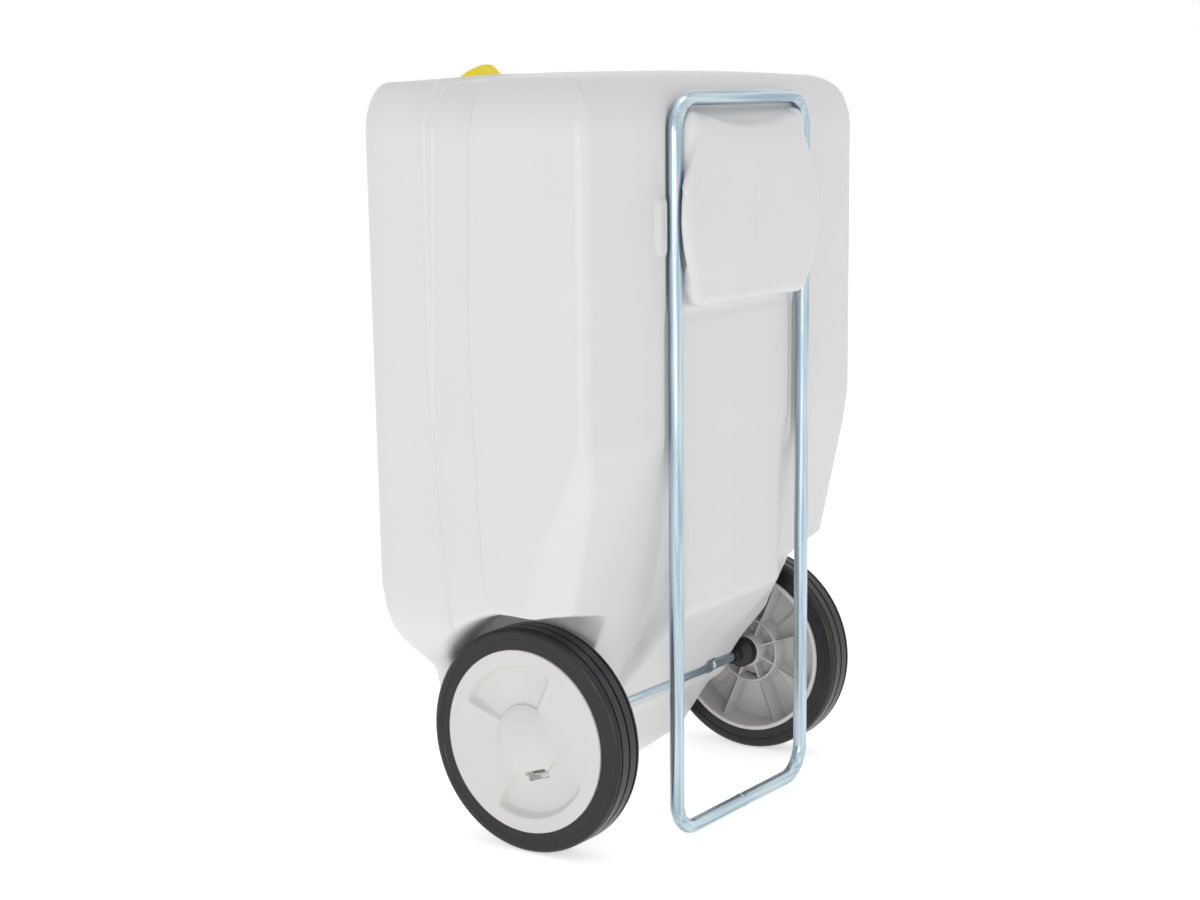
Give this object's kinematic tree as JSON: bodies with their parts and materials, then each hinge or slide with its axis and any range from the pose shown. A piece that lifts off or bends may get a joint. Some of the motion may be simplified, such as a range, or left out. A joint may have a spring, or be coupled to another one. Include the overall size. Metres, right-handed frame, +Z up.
{
  "type": "wheeled waste water tank",
  "caption": "Upright portable waste water tank with two wheels on an axle, a pull-out loop handle and a slanted neck with a screw cap.",
  "frame": {"origin": "on the ground, under the middle of the whole part's box", "axes": "+X along the axle to the left wheel seen from behind, +Y to the rear where the loop slides, +Z up"},
  "size_m": [0.5, 0.3766, 0.7537],
  "materials": {
    "tank_polyethylene": "blow-moulded, satin",
    "cap_plastic": "moulded, satin gloss",
    "seal_rubber": "moulded, matte",
    "zinc_steel": "zinc-plated, bright",
    "wheel_plastic": "injection-moulded, satin",
    "tyre_rubber": "moulded, matte",
    "bush_plastic": "moulded, satin",
    "spring_wire": "yellow-passivated steel wire"
  },
  "bodies": {
    "tank": {"tank_shell": "tank_polyethylene", "axle": "zinc_steel"},
    "loop": {"pull_loop": "zinc_steel"},
    "left_wheel": {"left_wheel_disc": "wheel_plastic", "left_tyre": "tyre_rubber", "left_hub_bush": "bush_plastic", "left_lock_spring": "spring_wire"},
    "right_wheel": {"right_wheel_disc": "wheel_plastic", "right_tyre": "tyre_rubber", "right_hub_bush": "bush_plastic", "right_lock_spring": "spring_wire"},
    "seal": {"cap_seal": "seal_rubber"},
    "cap": {"screw_cap": "cap_plastic"}
  },
  "joints": [
    {"name": "pull_loop_slide", "type": "slide", "parent": "tank", "child": "loop", "axis": [0, 0.0139, 0.9999], "range_m": [0, 0.5045]},
    {"name": "left_wheel_spin", "type": "hinge", "parent": "tank", "child": "left_wheel", "pos_m": [0.1844, 0.05434, 0.11], "axis": [1, 0, 0], "continuous": true},
    {"name": "right_wheel_spin", "type": "hinge", "parent": "tank", "child": "right_wheel", "pos_m": [-0.1844, 0.05434, 0.11], "axis": [1, 0, 0], "continuous": true},
    {"name": "cap_lift", "type": "slide", "parent": "tank", "child": "seal", "axis": [0, -0.7071, 0.7071], "range_m": [0, 0.018]},
    {"name": "cap_turn", "type": "hinge", "parent": "seal", "child": "cap", "pos_m": [0, -0.16466, 0.73], "axis": [0, -0.7071, 0.7071], "range_deg": [0, 1080]}
  ],
  "couplings": [
    {"joint": "cap_lift", "follows": "cap_turn", "m_per_rad": 0.00095493}
  ]
}
